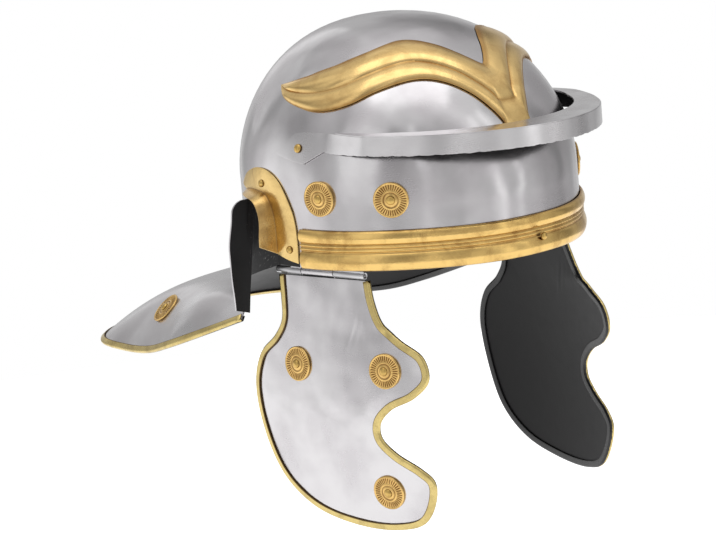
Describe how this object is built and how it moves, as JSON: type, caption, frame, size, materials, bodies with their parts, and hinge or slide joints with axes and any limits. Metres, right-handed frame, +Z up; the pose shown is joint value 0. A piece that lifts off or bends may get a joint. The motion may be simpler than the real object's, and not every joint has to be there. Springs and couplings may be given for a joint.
{
  "type": "legionary helmet",
  "caption": "Steel helmet bowl with a broad sloping neck guard, brow guard, brass brow band and trim, and hinged cheek guards that hang at the sides.",
  "frame": {"origin": "middle of the bowl's rim plane, the level of the brow band's lower edge, where the helmet sits on a head", "axes": "+Z up through the crown, -Y towards the brow, +X towards the wearer's left"},
  "size_m": [0.248, 0.4216, 0.3283],
  "materials": {
    "polished_steel": "satin polish outside, satin black paint inside",
    "brass": "polished, lightly tarnished in the folds",
    "binding_brass": "pale polished",
    "rosette_brass": "warm, stamped"
  },
  "bodies": {
    "shell": {"brow_band": "brass", "brow_band_rivet": "brass", "brow_guard": "polished_steel", "brow_guard_rivet_left": "brass", "brow_guard_rivet_right": "brass", "cheek_hinge_leaf_left": "polished_steel", "cheek_hinge_leaf_right": "polished_steel", "cheek_hinge_pin_left": "polished_steel", "cheek_hinge_pin_right": "polished_steel", "ear_guard_left": "brass", "ear_guard_right": "brass", "ear_guard_rivet_front_left": "brass", "ear_guard_rivet_front_right": "brass", "ear_guard_rivet_upper_left": "brass", "ear_guard_rivet_upper_right": "brass", "eyebrow_ornament": "brass", "neck_guard": "polished_steel", "neck_guard_binding": "binding_brass", "neck_guard_rivet_back": "polished_steel", "neck_guard_rivet_left": "polished_steel", "neck_guard_rivet_right": "polished_steel", "neck_rosette_left": "rosette_brass", "neck_rosette_left_rivet": "brass", "neck_rosette_right": "rosette_brass", "neck_rosette_right_rivet": "brass", "skull": "polished_steel", "skull_rosette_front_left": "rosette_brass", "skull_rosette_front_left_rivet": "brass", "skull_rosette_front_right": "rosette_brass", "skull_rosette_front_right_rivet": "brass", "skull_rosette_side_left": "rosette_brass", "skull_rosette_side_left_rivet": "brass", "skull_rosette_side_right": "rosette_brass", "skull_rosette_side_right_rivet": "brass"},
    "cheek_right": {"cheek_binding_right": "binding_brass", "cheek_guard_right": "polished_steel", "cheek_rosette_back_right": "rosette_brass", "cheek_rosette_back_right_rivet": "brass", "cheek_rosette_chin_right": "rosette_brass", "cheek_rosette_chin_right_rivet": "brass", "cheek_rosette_front_right": "rosette_brass", "cheek_rosette_front_right_rivet": "brass"},
    "cheek_left": {"cheek_binding_left": "binding_brass", "cheek_guard_left": "polished_steel", "cheek_rosette_back_left": "rosette_brass", "cheek_rosette_back_left_rivet": "brass", "cheek_rosette_chin_left": "rosette_brass", "cheek_rosette_chin_left_rivet": "brass", "cheek_rosette_front_left": "rosette_brass", "cheek_rosette_front_left_rivet": "brass"}
  },
  "joints": [
    {"name": "cheek_right_hinge", "type": "hinge", "parent": "shell", "child": "cheek_right", "pos_m": [-0.0985, 0.017, -0.0055], "axis": [-0.1426, 0.9898, 0], "range_deg": [-15, 75]},
    {"name": "cheek_left_hinge", "type": "hinge", "parent": "shell", "child": "cheek_left", "pos_m": [0.0985, 0.017, -0.0055], "axis": [-0.1426, -0.9898, 0], "range_deg": [-15, 75]}
  ]
}
